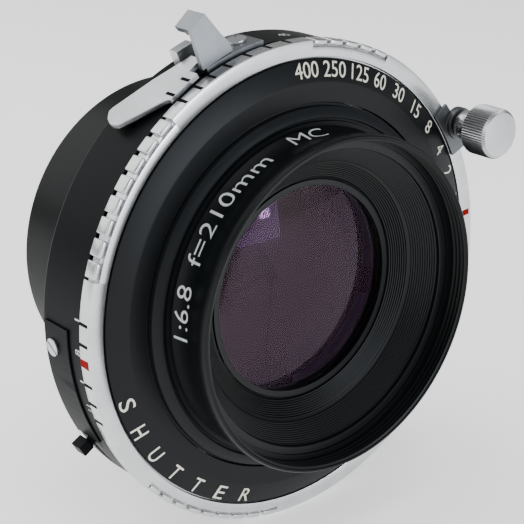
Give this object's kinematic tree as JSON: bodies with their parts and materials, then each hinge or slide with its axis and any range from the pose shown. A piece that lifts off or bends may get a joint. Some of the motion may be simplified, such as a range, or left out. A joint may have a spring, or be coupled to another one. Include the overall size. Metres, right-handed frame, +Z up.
{
  "type": "leaf shutter lens",
  "caption": "Darkroom and view-camera lens in a round leaf shutter with a chrome speed ring, a knurled clamp knob, side levers and a black front and rear barrel.",
  "frame": {"origin": "on the optical axis at the shutter's rear seat, the face that rests on the lens board", "axes": "+Y along the optical axis towards the rear of the lens, +Z up with the cocking lever near the top; the front of the lens faces -Y"},
  "size_m": [0.0731, 0.0456, 0.0783],
  "materials": {
    "black_metal": "satin black anodised aluminium",
    "dark_grey_metal": "dull dark grey",
    "chrome": "satin chrome plate",
    "satin_steel": "satin",
    "blade_steel": "blackened spring steel",
    "brass": "machined",
    "glass": "polished, multi-coated"
  },
  "bodies": {
    "shutter_case": {"shutter_housing": "black_metal", "side_plate": "black_metal", "side_plate_screw": "dark_grey_metal", "face_plate": "black_metal", "front_collar": "dark_grey_metal", "front_cell_barrel": "black_metal", "front_retaining_ring": "black_metal", "front_element": "glass", "spacer_ring": "black_metal", "middle_element": "glass", "rear_cell_barrel": "black_metal", "rear_element": "glass", "rear_retaining_ring": "black_metal", "board_retaining_ring": "black_metal", "mechanism_plate": "satin_steel", "divider_plate": "satin_steel", "leaf_pivots": "satin_steel", "gear_posts": "satin_steel", "mainspring_post": "satin_steel", "mainspring": "satin_steel", "cable_release_socket": "satin_steel", "flash_socket": "satin_steel", "flash_contact": "brass", "rear_screws": "dark_grey_metal"},
    "speed_ring_unit": {"speed_ring": "chrome", "speed_cam": "satin_steel", "ring_clamp": "dark_grey_metal", "clamp_collar": "chrome"},
    "finger_knob": {"clamp_knob": "satin_steel"},
    "cocking_unit": {"cocking_lever": "satin_steel", "cocking_lever_screw": "satin_steel", "cocking_ring": "satin_steel"},
    "preview_unit": {"preview_lever": "satin_steel", "leaf_ring": "satin_steel"},
    "release_unit": {"release_lever": "satin_steel"},
    "diaphragm_unit": {"diaphragm_lever": "dark_grey_metal", "iris_ring": "satin_steel"},
    "sector_gear_unit": {"sector_gear": "brass"},
    "transfer_gear_unit": {"transfer_gear": "brass"},
    "escape_wheel_unit": {"escape_wheel": "brass"},
    "escape_anchor_unit": {"escape_anchor": "brass"},
    "leaf_1": {"shutter_leaf_1": "blade_steel"},
    "leaf_2": {"shutter_leaf_2": "blade_steel"},
    "leaf_3": {"shutter_leaf_3": "blade_steel"},
    "leaf_4": {"shutter_leaf_4": "blade_steel"},
    "leaf_5": {"shutter_leaf_5": "blade_steel"},
    "blade_1": {"iris_blade_1": "blade_steel"},
    "blade_2": {"iris_blade_2": "blade_steel"},
    "blade_3": {"iris_blade_3": "blade_steel"},
    "blade_4": {"iris_blade_4": "blade_steel"},
    "blade_5": {"iris_blade_5": "blade_steel"},
    "blade_6": {"iris_blade_6": "blade_steel"},
    "blade_7": {"iris_blade_7": "blade_steel"}
  },
  "joints": [
    {"name": "speed_ring_turn", "type": "hinge", "parent": "shutter_case", "child": "speed_ring_unit", "pos_m": [0, 0, 0], "axis": [0, 1, 0], "range_deg": [-83.5, 8.3]},
    {"name": "clamp_knob_turn", "type": "hinge", "parent": "speed_ring_unit", "child": "finger_knob", "pos_m": [0.0318, -0.0175, 0.01949], "axis": [0, 1, 0], "range_deg": [-180, 180]},
    {"name": "cocking_lever_swing", "type": "hinge", "parent": "shutter_case", "child": "cocking_unit", "pos_m": [0, 0, 0], "axis": [0, 1, 0], "range_deg": [0, 20]},
    {"name": "preview_lever_swing", "type": "hinge", "parent": "shutter_case", "child": "preview_unit", "pos_m": [0, 0, 0], "axis": [0, 1, 0], "range_deg": [-12, 0]},
    {"name": "release_lever_swing", "type": "hinge", "parent": "shutter_case", "child": "release_unit", "pos_m": [0, 0, 0], "axis": [0, 1, 0], "range_deg": [0, 3.5], "stiffness_Nm_per_rad": 0.4, "springref_deg": -1.72},
    {"name": "diaphragm_lever_swing", "type": "hinge", "parent": "shutter_case", "child": "diaphragm_unit", "pos_m": [0, 0, 0], "axis": [0, 1, 0], "range_deg": [-50, 0]},
    {"name": "sector_gear_turn", "type": "hinge", "parent": "shutter_case", "child": "sector_gear_unit", "pos_m": [-0.00272, -0.01, -0.02586], "axis": [0, 1, 0], "range_deg": [-60, 0]},
    {"name": "transfer_gear_turn", "type": "hinge", "parent": "shutter_case", "child": "transfer_gear_unit", "pos_m": [-0.0094, -0.01, -0.02424], "axis": [0, 1, 0], "range_deg": [0, 75]},
    {"name": "escape_wheel_turn", "type": "hinge", "parent": "shutter_case", "child": "escape_wheel_unit", "pos_m": [-0.01517, -0.01, -0.02111], "axis": [0, 1, 0], "range_deg": [-110, 0]},
    {"name": "escape_anchor_rock", "type": "hinge", "parent": "shutter_case", "child": "escape_anchor_unit", "pos_m": [-0.01941, -0.01, -0.0173], "axis": [0, 1, 0], "range_deg": [-5, 5]},
    {"name": "shutter_leaf_1_swing", "type": "hinge", "parent": "shutter_case", "child": "leaf_1", "pos_m": [-0.01318, -0.0065, 0.0157], "axis": [0, 1, 0], "range_deg": [-44.2, 0]},
    {"name": "shutter_leaf_2_swing", "type": "hinge", "parent": "shutter_case", "child": "leaf_2", "pos_m": [0.01086, -0.0065, 0.01739], "axis": [0, 1, 0], "range_deg": [-44.2, 0]},
    {"name": "shutter_leaf_3_swing", "type": "hinge", "parent": "shutter_case", "child": "leaf_3", "pos_m": [0.01989, -0.0065, -0.00496], "axis": [0, 1, 0], "range_deg": [-44.2, 0]},
    {"name": "shutter_leaf_4_swing", "type": "hinge", "parent": "shutter_case", "child": "leaf_4", "pos_m": [0.00143, -0.0065, -0.02045], "axis": [0, 1, 0], "range_deg": [-44.2, 0]},
    {"name": "shutter_leaf_5_swing", "type": "hinge", "parent": "shutter_case", "child": "leaf_5", "pos_m": [-0.01901, -0.0065, -0.00768], "axis": [0, 1, 0], "range_deg": [-44.2, 0]},
    {"name": "iris_blade_1_swing", "type": "hinge", "parent": "shutter_case", "child": "blade_1", "pos_m": [0.02039, -0.004, -0.00214], "axis": [0, 1, 0], "range_deg": [-0.2, 38.2]},
    {"name": "iris_blade_2_swing", "type": "hinge", "parent": "shutter_case", "child": "blade_2", "pos_m": [0.01104, -0.004, -0.01728], "axis": [0, 1, 0], "range_deg": [-0.2, 38.2]},
    {"name": "iris_blade_3_swing", "type": "hinge", "parent": "shutter_case", "child": "blade_3", "pos_m": [-0.00663, -0.004, -0.0194], "axis": [0, 1, 0], "range_deg": [-0.2, 38.2]},
    {"name": "iris_blade_4_swing", "type": "hinge", "parent": "shutter_case", "child": "blade_4", "pos_m": [-0.0193, -0.004, -0.00692], "axis": [0, 1, 0], "range_deg": [-0.2, 38.2]},
    {"name": "iris_blade_5_swing", "type": "hinge", "parent": "shutter_case", "child": "blade_5", "pos_m": [-0.01744, -0.004, 0.01078], "axis": [0, 1, 0], "range_deg": [-0.2, 38.2]},
    {"name": "iris_blade_6_swing", "type": "hinge", "parent": "shutter_case", "child": "blade_6", "pos_m": [-0.00245, -0.004, 0.02035], "axis": [0, 1, 0], "range_deg": [-0.2, 38.2]},
    {"name": "iris_blade_7_swing", "type": "hinge", "parent": "shutter_case", "child": "blade_7", "pos_m": [0.01439, -0.004, 0.0146], "axis": [0, 1, 0], "range_deg": [-0.2, 38.2]}
  ],
  "couplings": [
    {"joint": "sector_gear_turn", "follows": "cocking_lever_swing", "ratio": -2.5},
    {"joint": "transfer_gear_turn", "follows": "cocking_lever_swing", "ratio": 2.9167},
    {"joint": "escape_wheel_turn", "follows": "cocking_lever_swing", "ratio": -4.375},
    {"joint": "shutter_leaf_1_swing", "follows": "preview_lever_swing", "ratio": 3.6667},
    {"joint": "shutter_leaf_2_swing", "follows": "preview_lever_swing", "ratio": 3.6667},
    {"joint": "shutter_leaf_3_swing", "follows": "preview_lever_swing", "ratio": 3.6667},
    {"joint": "shutter_leaf_4_swing", "follows": "preview_lever_swing", "ratio": 3.6667},
    {"joint": "shutter_leaf_5_swing", "follows": "preview_lever_swing", "ratio": 3.6667},
    {"joint": "iris_blade_1_swing", "follows": "diaphragm_lever_swing", "ratio": -0.76},
    {"joint": "iris_blade_2_swing", "follows": "diaphragm_lever_swing", "ratio": -0.76},
    {"joint": "iris_blade_3_swing", "follows": "diaphragm_lever_swing", "ratio": -0.76},
    {"joint": "iris_blade_4_swing", "follows": "diaphragm_lever_swing", "ratio": -0.76},
    {"joint": "iris_blade_5_swing", "follows": "diaphragm_lever_swing", "ratio": -0.76},
    {"joint": "iris_blade_6_swing", "follows": "diaphragm_lever_swing", "ratio": -0.76},
    {"joint": "iris_blade_7_swing", "follows": "diaphragm_lever_swing", "ratio": -0.76}
  ]
}
